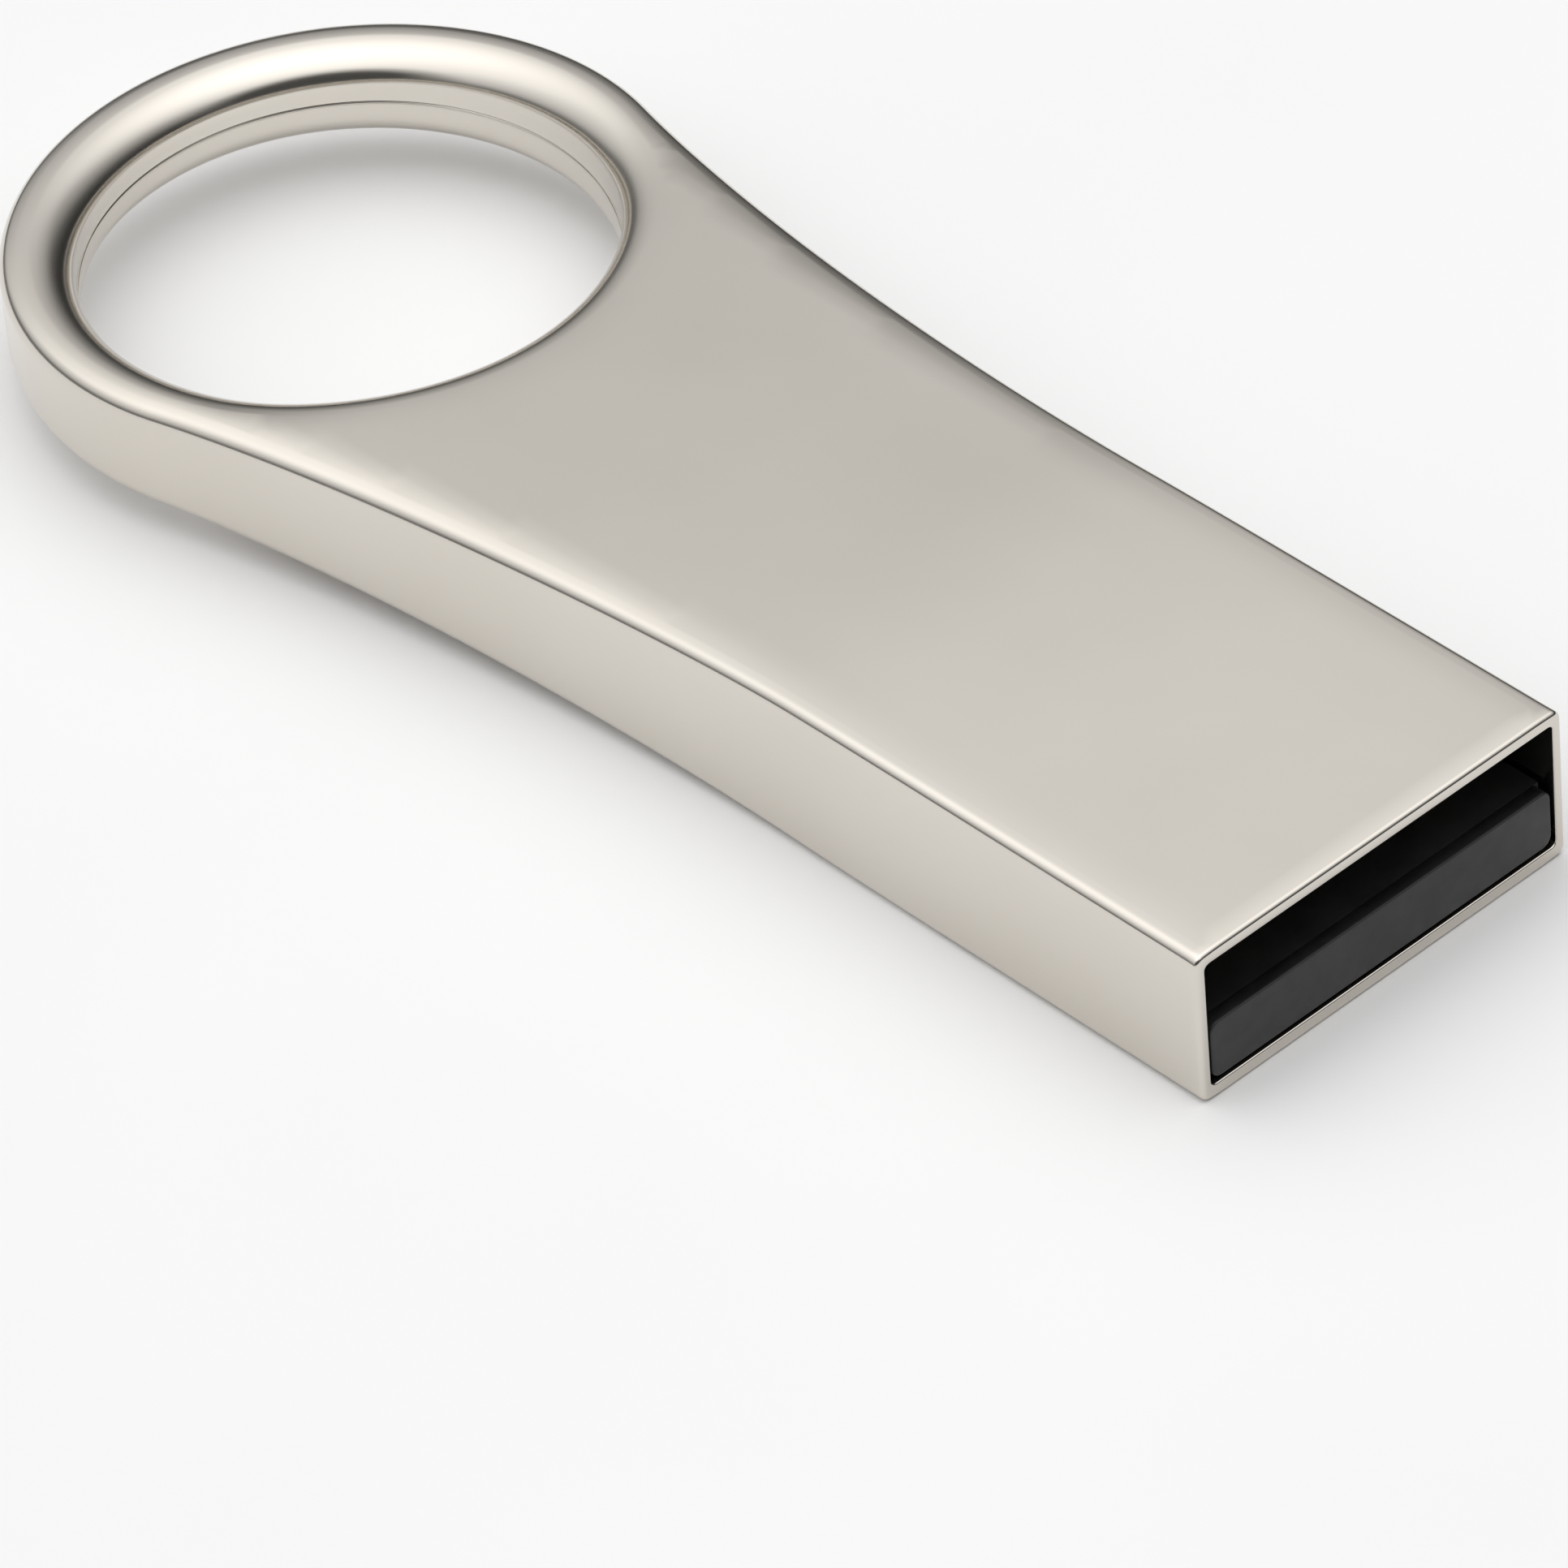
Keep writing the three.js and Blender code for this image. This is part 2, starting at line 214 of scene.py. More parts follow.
def outline():
    """The casing's plan outline from the plug's +Y side round to its -Y side, with the
    outward normals, and where the ring's arc starts and ends in it."""
    end_x = PLUG_X - RIM_ROUND
    side_x = np.linspace(end_x, TAPER_X, SIDE_STEPS, endpoint=False)
    side = np.stack([side_x, np.full(SIDE_STEPS, PLUG_HALF_WIDTH)], 1)
    side_normal = np.tile([0.0, 1.0], (SIDE_STEPS, 1))

    toward = np.array([math.sin(NECK_ANGLE), -math.cos(NECK_ANGLE)])
    start = np.array([TAPER_X, PLUG_HALF_WIDTH])
    start_handle = start - np.array([NECK_PLUG_HANDLE, 0])
    leaving = np.array([math.cos(NECK_ANGLE), math.sin(NECK_ANGLE)])
    end = np.array([RING_X, 0]) + RING_RADIUS * leaving
    end_handle = end + NECK_RING_HANDLE * toward
    t = np.linspace(0, 1, NECK_STEPS, endpoint=False)[:, None]
    neck = ((1 - t) ** 3 * start + 3 * (1 - t) ** 2 * t * start_handle
            + 3 * (1 - t) * t * t * end_handle + t ** 3 * end)
    along = ((1 - t) ** 2 * (start_handle - start) + 2 * (1 - t) * t * (end_handle - start_handle)
             + t * t * (end - end_handle))
    along /= np.linalg.norm(along, axis=1)[:, None]
    neck_normal = np.stack([along[:, 1], -along[:, 0]], 1)

    angle = np.linspace(NECK_ANGLE, 2 * math.pi - NECK_ANGLE, ARC_STEPS + 1)
    arc_normal = np.stack([np.cos(angle), np.sin(angle)], 1)
    arc = np.array([RING_X, 0]) + RING_RADIUS * arc_normal

    mirror = np.array([1, -1])
    points = np.concatenate([side, neck, arc, (neck * mirror)[::-1], (side * mirror)[::-1]])
    normals = np.concatenate([
        side_normal, neck_normal, arc_normal,
        (neck_normal * mirror)[::-1], (side_normal * mirror)[::-1]])
    first = SIDE_STEPS + NECK_STEPS
    return points, normals, first, first + ARC_STEPS


def edge_distances(width, band):
    """Distances in from an edge, from the band's inner side out to the edge itself."""
    flat = np.linspace(band, width, FLAT_ROWS, endpoint=False)
    turn = np.linspace(math.pi / 2, 0, EDGE_ROWS)
    return np.concatenate([flat, width * (1 - np.cos(turn))])


def hole_distance(points):
    """How far plan points lie from the hole's edge."""
    return np.hypot(points[:, 0] - HOLE_X, points[:, 1]) - RING_HOLE_RADIUS


def level_rows(top_rows, wall_heights, wall_points):
    """The rows of one edge from the top face down to the underside. top_rows are
    (plan points, heights), outermost last. The underside mirrors the top. All heights
    are taken from the middle of the thickness, which rises towards the tip."""
    rows = [np.column_stack([p, h]) for p, h in top_rows]
    rows += [np.column_stack([p, h]) for p, h in zip(wall_points, wall_heights)]
    rows += [np.column_stack([p, -h]) for p, h in reversed(top_rows)]
    for row in rows:
        row[:, 2] += middle_rise(row[:, 0])
    return rows


def outer_rows(points, normals):
    """Rows of points along the outline, from its top edge to its bottom edge."""
    top = []
    for distance in edge_distances(EDGE_WIDTH, OUTER_BAND):
        plan = points - normals * distance
        from_outline = np.full(len(plan), distance)
        top.append((plan, face_height(plan[:, 0], from_outline, hole_distance(plan))))
    edge = top[-1][1]
    shares = np.linspace(1, -1, WALL_ROWS + 2)[1:-1]
    return level_rows(top, [edge * share for share in shares], [points] * len(shares))


def hole_rows(angle):
    """The same for the hole, at the given angles round it."""
    normal = np.stack([np.cos(angle), np.sin(angle)], 1)
    centre = np.array([HOLE_X, 0])
    top = []
    for distance in edge_distances(HOLE_EDGE_WIDTH, HOLE_BAND):
        plan = centre + normal * (RING_HOLE_RADIUS + distance)
        from_outline = outline_distance(plan)
        top.append((plan, face_height(plan[:, 0], from_outline, np.full(len(plan), distance))))
    edge = top[-1][1]
    ridge = PARTING_WIDTH * np.array(PARTING_ROWS)
    between = (edge + ridge[0]) / 2
    heights = [between] + [np.full(len(angle), z) for z in ridge] + [-between]
    points = []
    for height in heights:
        bulge = PARTING_HEIGHT * np.exp(-(height / PARTING_WIDTH) ** 2)
        points.append(centre + normal * (RING_HOLE_RADIUS - bulge)[:, None])
    return level_rows(top, heights, points)


OUTLINE, OUTLINE_NORMAL, ARC_FIRST, ARC_LAST = outline()


def outline_distance(points):
    """How far plan points lie in from the outline."""
    result = np.empty(len(points))
    for start in range(0, len(points), AT_ONCE):
        some = points[start:start + AT_ONCE]
        away = some[:, None, :] - OUTLINE[None, :, :]
        result[start:start + AT_ONCE] = np.sqrt((away ** 2).sum(2).min(1))
    return result


def inside(points, loop):
    """Which plan points lie inside a closed loop."""
    x, y = points[:, 0][:, None], points[:, 1][:, None]
    following = np.roll(loop, -1, axis=0)
    x0, y0 = loop[:, 0][None], loop[:, 1][None]
    x1, y1 = following[:, 0][None], following[:, 1][None]
    crosses = (y0 > y) != (y1 > y)
    with np.errstate(divide="ignore", invalid="ignore"):
        at = x0 + (y - y0) * (x1 - x0) / (y1 - y0)
    return (np.where(crosses, x < at, False).sum(1) % 2) == 1


def face_mesh(loop):
    """Plan points and triangles that fill a loop, on a regular grid inside it."""
    xs = np.arange(RING_X, PLUG_X, FACE_GRID)
    ys = np.arange(-RING_RADIUS, RING_RADIUS + FACE_GRID, FACE_GRID)
    grid = np.stack(np.meshgrid(xs, ys, indexing="ij"), -1).reshape(-1, 2)
    grid = grid[inside(grid, loop)]
    gap = np.sqrt(((grid[:, None, :] - loop[None, :, :]) ** 2).sum(2).min(1))
    grid = grid[gap > FACE_GRID * FACE_GAP]
    points = np.concatenate([loop, grid])
    edges = [(i, (i + 1) % len(loop)) for i in range(len(loop))]
    made = delaunay_2d_cdt([Vector(p) for p in points], edges, [list(range(len(loop)))], 1, 1e-7)
    return np.array([tuple(v) for v in made[0]]), [tuple(f) for f in made[2]]


def pocket_point(across, up, half_width, low, high, corner):
    """Where a point of the outer section lands on a pocket's round-cornered section."""
    half = (high - low) / 2
    middle = (high + low) / 2 - HALF_HEIGHT
    u, v = across / PLUG_HALF_WIDTH, up / HALF_HEIGHT
    size = max(abs(u), abs(v))
    y, z = half_width * u / size, half * v / size
    past_y, past_z = abs(y) - (half_width - corner), abs(z) - (half - corner)
    if past_y > 0 and past_z > 0:
        reach = math.hypot(past_y, past_z)
        y = math.copysign(half_width - corner + past_y / reach * corner, y)
        z = math.copysign(half - corner + past_z / reach * corner, z)
    return y, z + middle


def section_normals(loop):
    """Outward normals of a closed loop of (across, up) points."""
    along = np.roll(loop, -1, axis=0) - np.roll(loop, 1, axis=0)
    along /= np.linalg.norm(along, axis=1)[:, None]
    normal = np.stack([along[:, 1], -along[:, 0]], 1)
    outward = (normal * loop).sum() > 0
    return normal if outward else -normal


class Skin:
    """Rows of points, in millimetres, that are joined into one closed skin."""

    def __init__(self):
        self.vertices = []
        self.faces = []

    def add_row(self, row):
        start = len(self.vertices)
        self.vertices.extend(map(tuple, row))
        return list(range(start, start + len(row)))

    def join(self, rows, closed=False):
        for upper, lower in zip(rows, rows[1:]):
            count = len(upper)
            for i in range(count if closed else count - 1):
                k = (i + 1) % count
                self.faces.append((upper[i], upper[k], lower[k], lower[i]))

    def add_rows(self, rows, closed=False):
        ids = [self.add_row(row) for row in rows]
        self.join(ids, closed)
        return ids


def mouth_edge():
    """Plan points along the top's edge at the mouth, without its two ends."""
    half_width = PLUG_HALF_WIDTH - OUTER_BAND
    across = np.linspace(-half_width, half_width, MOUTH_STEPS + 1)[1:-1]
    return np.column_stack([np.full(len(across), PLUG_X - RIM_ROUND), across])


def surface_height(plan):
    """Height of the top face at any plan points."""
    return face_height(plan[:, 0], outline_distance(plan), hole_distance(plan))


def add_faces(skin, outer, front):
    """The top and the underside, in front of the ring's own band."""
    before = outer[0][:ARC_FIRST + 1, :2]
    after = outer[0][ARC_LAST:, :2]
    loop = np.concatenate([before, front[0][:, :2], after, mouth_edge()])
    plan, triangles = face_mesh(loop)
    height = surface_height(plan)
    rise = middle_rise(plan[:, 0])
    for sign in (1, -1):
        ids = skin.add_row(np.column_stack([plan, rise + sign * height]))
        skin.faces.extend(tuple(ids[i] for i in triangle) for triangle in triangles)


def mouth_section(outer):
    """The outer section at the mouth, once round from the +Y side over the top, as
    (across, up) points."""
    mouth = mouth_edge()
    height = surface_height(mouth)
    top = np.column_stack([mouth[:, 1], height])[::-1]
    right = np.array([(row[-1][1], row[-1][2]) for row in outer])
    bottom = np.column_stack([mouth[:, 1], -height])
    left = np.array([(row[0][1], row[0][2]) for row in outer])[::-1]
    return np.concatenate([top, right, bottom, left])


def pocket_section(section, low, high, corner):
    """The pocket's section, point by point of the outer one."""
    return np.array([pocket_point(y, z, POCKET_HALF_WIDTH, low, high, corner) for y, z in section])


def section_row(x, section):
    return np.column_stack([np.full(len(section), x), section])


def pocket_rows(section):
    """Rows from the outer edge of the rim, over the rim and down the pocket to its end."""
    rows = []
    normal = section_normals(section)
    for turn in np.linspace(0, math.pi / 2, RIM_ROWS):
        inset = RIM_ROUND * (1 - math.cos(turn))
        x = PLUG_X - RIM_ROUND + RIM_ROUND * math.sin(turn)
        rows.append(section_row(x, section - normal * inset))
    mouth = pocket_section(section, MOUTH_FLOOR, MOUTH_CEILING, MOUTH_CORNER)
    mouth_normal = section_normals(mouth)
    for turn in np.linspace(0, math.pi / 2, MOUTH_ROWS):
        grow = MOUTH_ROUND * (1 - math.sin(turn))
        x = PLUG_X - MOUTH_ROUND * (1 - math.cos(turn))
        rows.append(section_row(x, mouth + mouth_normal * grow))
    for x in np.linspace(PLUG_X - MOUTH_STRAIGHT, TAPER_X, POCKET_ROWS):
        rows.append(section_row(x, mouth))
    rear = pocket_section(section, REAR_FLOOR, REAR_CEILING, REAR_CORNER)
    for x in np.linspace(TAPER_X, POCKET_END_X, POCKET_ROWS):
        rows.append(section_row(x, rear))
    return rows


def casing_skin():
    """The whole casting: its face, edges, ring, rim and pocket, as one closed skin."""
    skin = Skin()
    outer = outer_rows(OUTLINE, OUTLINE_NORMAL)
    outer_ids = skin.add_rows(outer)
    back = hole_rows(np.linspace(NECK_ANGLE, 2 * math.pi - NECK_ANGLE, ARC_STEPS + 1))
    back_ids = skin.add_rows(back)
    front = hole_rows(np.linspace(NECK_ANGLE, -NECK_ANGLE, FRONT_ARC_STEPS + 1))
    skin.add_rows(front)

    # The ring's own band: the outer and inner edges meet along it.
    for side in (0, -1):
        skin.join([outer_ids[side][ARC_FIRST:ARC_LAST + 1], back_ids[side]])
    add_faces(skin, outer, front)

    pocket_ids = skin.add_rows(pocket_rows(mouth_section(outer)), closed=True)
    skin.faces.append(tuple(pocket_ids[-1]))
    raised = [(x, y, z + HALF_HEIGHT) for x, y, z in skin.vertices]
    return mesh_object("casing_skin", raised, skin.faces)


# ---------------------------------------------------------------- tongue

TONGUE_CORNER = 0.28
TONGUE_EDGE = 0.05
TONGUE_WALL = 0.4
TONGUE_FLOOR_CORNER = 0.08
TONGUE_CORNER_STEPS = 8
TONGUE_EDGE_ROWS = 5


def tongue_section(half_width, low, high, corner):
    """A round-cornered rectangle of (across, up) points, once round."""
    points = []
    for quarter, (sy, sz) in enumerate(((1, 1), (-1, 1), (-1, -1), (1, -1))):
        for step in range(TONGUE_CORNER_STEPS + 1):
            turn = (quarter + step / TONGUE_CORNER_STEPS) * math.pi / 2
            centre_y = sy * (half_width - corner)
            centre_z = high - corner if sz > 0 else low + corner
            points.append((centre_y + corner * math.cos(turn), centre_z + corner * math.sin(turn)))
    return points


def add_loft(skin, sections):
    """A closed solid through sections, each an x and its (across, up) points."""
    ids = skin.add_rows([[(x, y, z) for y, z in points] for x, points in sections], closed=True)
    skin.faces.append(tuple(ids[0]))
    skin.faces.append(tuple(ids[-1]))


def carrier_tongue():
    """The carrier's front wall, with soft moulded edges, and the floor behind it."""
    half_width = tray_high[1] / MM
    low, high = tray_low[2] / MM, tray_high[2] / MM
    front, back = tray_high[0] / MM, tray_low[0] / MM
    wall_back = front - TONGUE_WALL

    def wall(x, inset):
        return x, tongue_section(half_width - inset, low + inset, high - inset, TONGUE_CORNER)

    skin = Skin()
    rounded = []
    for turn in np.linspace(math.pi / 2, 0, TONGUE_EDGE_ROWS):
        inset = TONGUE_EDGE * (1 - math.cos(turn))
        rounded.append(wall(front - TONGUE_EDGE * (1 - math.sin(turn)), inset))
    rounded.append(wall(wall_back, 0))
    add_loft(skin, rounded)
    floor = tongue_section(half_width, low, REAR_FLOOR, TONGUE_FLOOR_CORNER)
    add_loft(skin, [(wall_back, floor), (back, floor)])
    return mesh_object("carrier_tongue", skin.vertices, skin.faces)


# ---------------------------------------------------------------- materials

# A noise's range between its low and high lumps.
NOISE_LOW = 0.3
NOISE_HIGH = 0.7


class Nodes:
    """Short names for making one node material."""

    def __init__(self, name):
        self.material = bpy.data.materials.new(name)
        self.material.use_nodes = True
        self.tree = self.material.node_tree
        self.shader = self.tree.nodes["Principled BSDF"]
        self.place = self.add("ShaderNodeTexCoord").outputs["Object"]

    def add(self, kind, **settings):
        node = self.tree.nodes.new(kind)
        for key, value in settings.items():
            setattr(node, key, value)
        return node

    def link(self, output, node_input):
        self.tree.links.new(output, node_input)

    def noise(self, size_mm, detail=3.0, roughness=0.5, stretch=(1, 1, 1)):
        """Noise whose lumps are about size_mm wide."""
        mapping = self.add("ShaderNodeMapping")
        self.link(self.place, mapping.inputs["Vector"])
        mapping.inputs["Scale"].default_value = [s / (size_mm * MM) for s in stretch]
        noise = self.add("ShaderNodeTexNoise")
        noise.inputs["Scale"].default_value = 1.0
        noise.inputs["Detail"].default_value = detail
        noise.inputs["Roughness"].default_value = roughness
        self.link(mapping.outputs["Vector"], noise.inputs["Vector"])
        return noise.outputs["Fac"]

    def ramp(self, value, bottom, top):
        """A noise mapped to the range bottom..top, both numbers or both colours."""
        if isinstance(bottom, (int, float)):
            node = self.add("ShaderNodeMapRange")
            self.link(value, node.inputs["Value"])
            node.inputs["From Min"].default_value = NOISE_LOW
            node.inputs["From Max"].default_value = NOISE_HIGH
            node.inputs["To Min"].default_value = bottom
            node.inputs["To Max"].default_value = top
            return node.outputs["Result"]
        node = self.add("ShaderNodeValToRGB")
        self.link(value, node.inputs["Fac"])
        node.color_ramp.elements[0].position = NOISE_LOW
        node.color_ramp.elements[0].color = (*bottom, 1)
        node.color_ramp.elements[1].position = NOISE_HIGH
        node.color_ramp.elements[1].color = (*top, 1)
        return node.outputs["Color"]

    def bump(self, value, strength, depth_mm, under=None):
        node = self.add("ShaderNodeBump")
        node.inputs["Strength"].default_value = strength
        node.inputs["Distance"].default_value = depth_mm * MM
        self.link(value, node.inputs["Height"])
        if under is not None:
            self.link(under, node.inputs["Normal"])
        return node.outputs["Normal"]

    def set(self, **values):
        for key, value in values.items():
            self.shader.inputs[key.replace("_", " ")].default_value = value

    def colour(self, output):
        self.link(output, self.shader.inputs["Base Color"])

    def rough(self, output):
        self.link(output, self.shader.inputs["Roughness"])

    def normal(self, output):
        self.link(output, self.shader.inputs["Normal"])


def satin_nickel():
    """Pearl nickel plating: warm, softly blasted, with faint waves left by polishing."""
    m = Nodes("satin_nickel_plating")
    m.set(Metallic=1.0)
    cloud = m.noise(9.0, detail=2.0)
    m.colour(m.ramp(cloud, (0.665, 0.625, 0.565), (0.700, 0.662, 0.605)))
    patch = m.noise(3.5, detail=4.0)
    m.rough(m.ramp(patch, 0.145, 0.185))
    wave = m.bump(m.noise(2.2, detail=1.0), strength=0.10, depth_mm=0.02)
    grain = m.bump(m.noise(0.05, detail=2.0), strength=0.06, depth_mm=0.003, under=wave)
    m.normal(grain)
    return m.material


def moulded(name, dark, light, roughness, grain_mm=0.06, depth_mm=0.004):
    """A moulded or cast non-metal with a fine surface grain."""
    m = Nodes(name)
    m.colour(m.ramp(m.noise(0.9, detail=3.0), dark, light))
    m.rough(m.ramp(m.noise(0.5, detail=3.0), roughness - 0.06, roughness + 0.06))
    m.normal(m.bump(m.noise(grain_mm, detail=2.0), strength=0.35, depth_mm=depth_mm))
    return m.material


def metal(name, dark, light, roughness, stretch=(1, 1, 1)):
    """A thin plated or drawn metal with fine wiping marks."""
    m = Nodes(name)
    m.set(Metallic=1.0)
    m.colour(m.ramp(m.noise(0.8, detail=2.0), dark, light))
    marks = m.noise(0.06, detail=2.0, stretch=stretch)
    m.rough(m.ramp(marks, roughness - 0.05, roughness + 0.08))
    m.normal(m.bump(marks, strength=0.2, depth_mm=0.003))
    return m.material


def finishes():
    """A material for each slot of the record."""
    return {
        "satin_nickel": satin_nickel(),
        "black_plastic": moulded("moulded_black", (0.010, 0.010, 0.011), (0.016, 0.016, 0.017), 0.42),
        "laminate": moulded(
            "solder_mask", (0.008, 0.009, 0.009), (0.013, 0.015, 0.014), 0.45, 0.12, 0.003),
        "epoxy": moulded(
            "moulding_compound", (0.010, 0.010, 0.010), (0.018, 0.018, 0.017), 0.55, 0.05, 0.006),
        "gold_plating": metal("gold_plating", (0.80, 0.56, 0.20), (0.90, 0.68, 0.30), 0.24, (0.1, 1, 1)),
        "die_film": moulded("die_film", (0.26, 0.14, 0.05), (0.34, 0.20, 0.08), 0.5),
        "silicon": metal("silicon_back", (0.16, 0.17, 0.19), (0.22, 0.23, 0.26), 0.20),
        "metal_can": metal("drawn_lid", (0.46, 0.47, 0.49), (0.56, 0.57, 0.60), 0.28, (1, 0.1, 1)),
        "chip_ceramic": moulded("chip_ceramic", (0.34, 0.22, 0.12), (0.44, 0.30, 0.18), 0.6, 0.08),
        "chip_resistor": moulded("chip_resistor", (0.02, 0.02, 0.024), (0.04, 0.04, 0.045), 0.45, 0.08),
        "foam_tape": moulded("paper_tape", (0.68, 0.65, 0.56), (0.80, 0.77, 0.69), 0.8, 0.15, 0.01),
        "clear_glue": moulded("cured_glue", (0.60, 0.55, 0.40), (0.72, 0.67, 0.53), 0.3, 0.4, 0.01),
    }


def paint(piece, material):
    piece.data.materials.clear()
    piece.data.materials.append(material)


# ---------------------------------------------------------------- stage

FLOOR_SIZE = 6.0


def floor_material():
    m = Nodes("pale_floor")
    m.colour(m.ramp(m.noise(20.0, detail=2.0), (0.94, 0.94, 0.94), (0.96, 0.96, 0.96)))
    m.set(Roughness=0.9)
    return m.material


def make_floor():
    bpy.ops.mesh.primitive_plane_add(size=FLOOR_SIZE, location=(0, 0, 0))
    floor = bpy.context.object
    floor.name = "floor"
    paint(floor, floor_material())


# Radiance of the room by the sine of the elevation: pale on one side and dark low down on
# the other, which lies towards ROOM_DARK_DIRECTION.
ROOM_PALE = ((0.0, 0.12), (0.15, 0.20), (0.30, 0.60), (0.50, 0.88), (0.60, 1.04),
             (0.66, 1.19), (0.80, 1.38), (1.0, 1.74))
ROOM_DARK = ((0.0, 0.02), (0.20, 0.04), (0.36, 0.12), (0.50, 0.34), (0.575, 0.47),
             (0.645, 0.70), (0.80, 1.22), (1.0, 1.74))
ROOM_PEAK = 1.9
ROOM_DARK_DIRECTION = (0.35, 0.94, 0.0)
ROOM_BLEND = (-0.30, 0.70)
ROOM_BACKGROUND = 1.0

# A large dark card stands on the side that the drive's mouth and near edge face. It is a
# patch of directions round CARD_PLACE: its size is its depth, half width and half height,
# turned about Z. It fades in between the two reaches of CARD_EDGE, in its own sizes.
CARD_PLACE = (0.78, -0.55, 0.30)
CARD_TURN = math.radians(-35)
CARD_SIZE = (1.2, 0.75, 0.42)
CARD_EDGE = (1.15, 0.70)
CARD_LEVEL = 0.04


def room_ramp(tree, height, levels):
    """The radiance that belongs to a height, by pairs of height and radiance."""
    ramp = tree.nodes.new("ShaderNodeValToRGB")
    tree.links.new(height, ramp.inputs["Fac"])
    stops = ramp.color_ramp.elements
    while len(stops) < len(levels):
        stops.new(0.5)
    for stop, (position, level) in zip(stops, levels):
        stop.position = position
        grey = level / ROOM_PEAK
        stop.color = (grey, grey, grey, 1)
    return ramp.outputs["Color"]


def share_between(tree, value, low, high):
    """A value's share of the way from low to high, from 0 to 1."""
    share = tree.nodes.new("ShaderNodeMapRange")
    share.inputs["From Min"].default_value = low
    share.inputs["From Max"].default_value = high
    tree.links.new(value, share.inputs["Value"])
    return share.outputs["Result"]


def room_share(tree, place, direction, blend):
    """How far a direction of the room has turned towards another one, from 0 to 1."""
    turn = tree.nodes.new("ShaderNodeVectorMath")
    turn.operation = "DOT_PRODUCT"
    tree.links.new(place.outputs["Generated"], turn.inputs[0])
    turn.inputs[1].default_value = direction
    return share_between(tree, turn.outputs["Value"], *blend)


def card_share(tree, place):
    """How far a direction of the room lies on the dark card, from 0 to 1."""
    mapping = tree.nodes.new("ShaderNodeMapping")
    mapping.vector_type = "TEXTURE"
    mapping.inputs["Location"].default_value = CARD_PLACE
    mapping.inputs["Rotation"].default_value = (0, 0, CARD_TURN)
    mapping.inputs["Scale"].default_value = CARD_SIZE
    tree.links.new(place.outputs["Generated"], mapping.inputs["Vector"])
    reach = tree.nodes.new("ShaderNodeVectorMath")
    reach.operation = "LENGTH"
    tree.links.new(mapping.outputs["Vector"], reach.inputs[0])
    return share_between(tree, reach.outputs["Value"], *CARD_EDGE)


def room_colour(tree):
    """The room's radiance, over ROOM_PEAK, by direction."""
    place = tree.nodes.new("ShaderNodeTexCoord")
    split = tree.nodes.new("ShaderNodeSeparateXYZ")
    tree.links.new(place.outputs["Generated"], split.inputs["Vector"])
    height = split.outputs["Z"]
    blend = tree.nodes.new("ShaderNodeMixRGB")
    tree.links.new(room_share(tree, place, ROOM_DARK_DIRECTION, ROOM_BLEND), blend.inputs["Fac"])
    tree.links.new(room_ramp(tree, height, ROOM_PALE), blend.inputs["Color1"])
    tree.links.new(room_ramp(tree, height, ROOM_DARK), blend.inputs["Color2"])
    card = tree.nodes.new("ShaderNodeMixRGB")
    card.inputs["Color2"].default_value = (CARD_LEVEL, CARD_LEVEL, CARD_LEVEL, 1)
    tree.links.new(card_share(tree, place), card.inputs["Fac"])
    tree.links.new(blend.outputs["Color"], card.inputs["Color1"])
    return card.outputs["Color"]


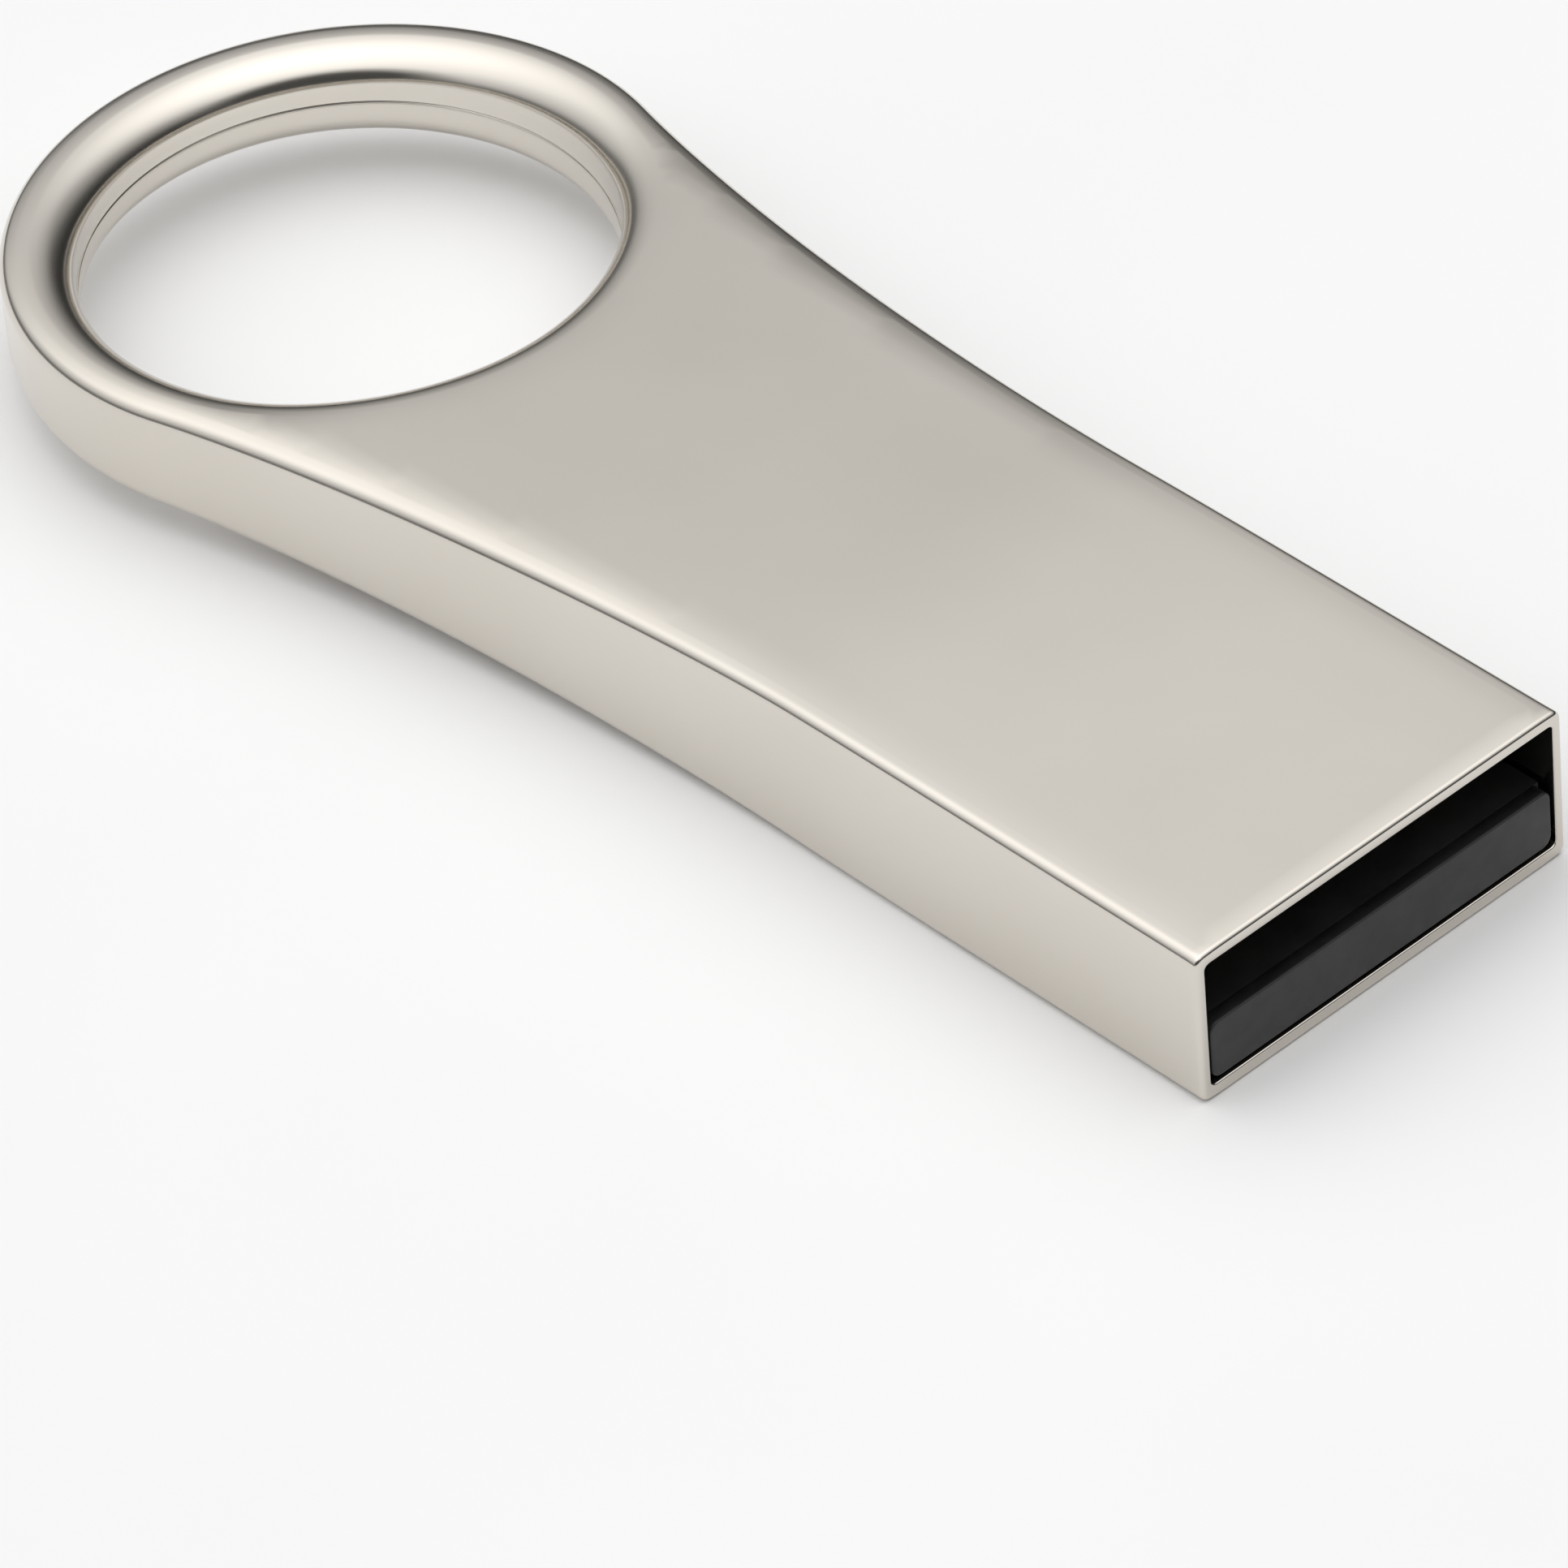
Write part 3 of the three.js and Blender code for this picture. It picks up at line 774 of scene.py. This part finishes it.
def make_room():
    """The studio, which lights the drive. The camera itself sees an even white instead."""
    world = bpy.data.worlds.new("studio")
    bpy.context.scene.world = world
    world.use_nodes = True
    tree = world.node_tree
    lit = tree.nodes["Background"]
    lit.inputs["Strength"].default_value = ROOM_PEAK
    tree.links.new(room_colour(tree), lit.inputs["Color"])
    seen = tree.nodes.new("ShaderNodeBackground")
    seen.inputs["Color"].default_value = (ROOM_BACKGROUND, ROOM_BACKGROUND, ROOM_BACKGROUND, 1)
    ray = tree.nodes.new("ShaderNodeLightPath")
    mix = tree.nodes.new("ShaderNodeMixShader")
    tree.links.new(ray.outputs["Is Camera Ray"], mix.inputs["Fac"])
    tree.links.new(lit.outputs["Background"], mix.inputs[1])
    tree.links.new(seen.outputs["Background"], mix.inputs[2])
    tree.links.new(mix.outputs["Shader"], tree.nodes["World Output"].inputs["Surface"])


CAMERA_PLACE = Vector((0.16752, -0.14046, 0.17768))
CAMERA_AZIMUTH = 49.80
CAMERA_ELEVATION = 40.168
CAMERA_ROLL = 5.091
CAMERA_LENS = 266.81


def make_camera():
    """Looks down on the drive from its plug end's right, a little rolled."""
    data = bpy.data.cameras.new("camera")
    data.lens = CAMERA_LENS
    data.sensor_width = 36.0
    data.clip_start = 0.01
    camera = bpy.data.objects.new("camera", data)
    bpy.context.scene.collection.objects.link(camera)
    azimuth, elevation = math.radians(CAMERA_AZIMUTH), math.radians(CAMERA_ELEVATION)
    back = Vector((math.sin(azimuth) * math.cos(elevation),
                   -math.cos(azimuth) * math.cos(elevation), math.sin(elevation)))
    turn = back.to_track_quat("Z", "Y").to_matrix()
    roll = Matrix.Rotation(math.radians(-CAMERA_ROLL), 3, "Z")
    camera.matrix_world = Matrix.Translation(CAMERA_PLACE) @ (turn @ roll).to_4x4()
    bpy.context.scene.camera = camera


# ---------------------------------------------------------------- assembly

make_camera()
make_floor()
make_room()
bpy.context.scene.view_settings.view_transform = "Standard"

FINISHES = finishes()
slot_of = {entry["node"]: entry["material_slot"] for entry in frame["record"]["subparts"]}

casing = casing_skin()
paint(casing, FINISHES["satin_nickel"])
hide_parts("casing")
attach(casing, "root")

tongue = carrier_tongue()
paint(tongue, FINISHES["black_plastic"])
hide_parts("carrier_tray")
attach(tongue, "root")

for node, piece in frame["nodes"].items():
    if node not in ("casing", "carrier_tray"):
        for place in piece.material_slots:
            place.material = FINISHES[slot_of[node]]
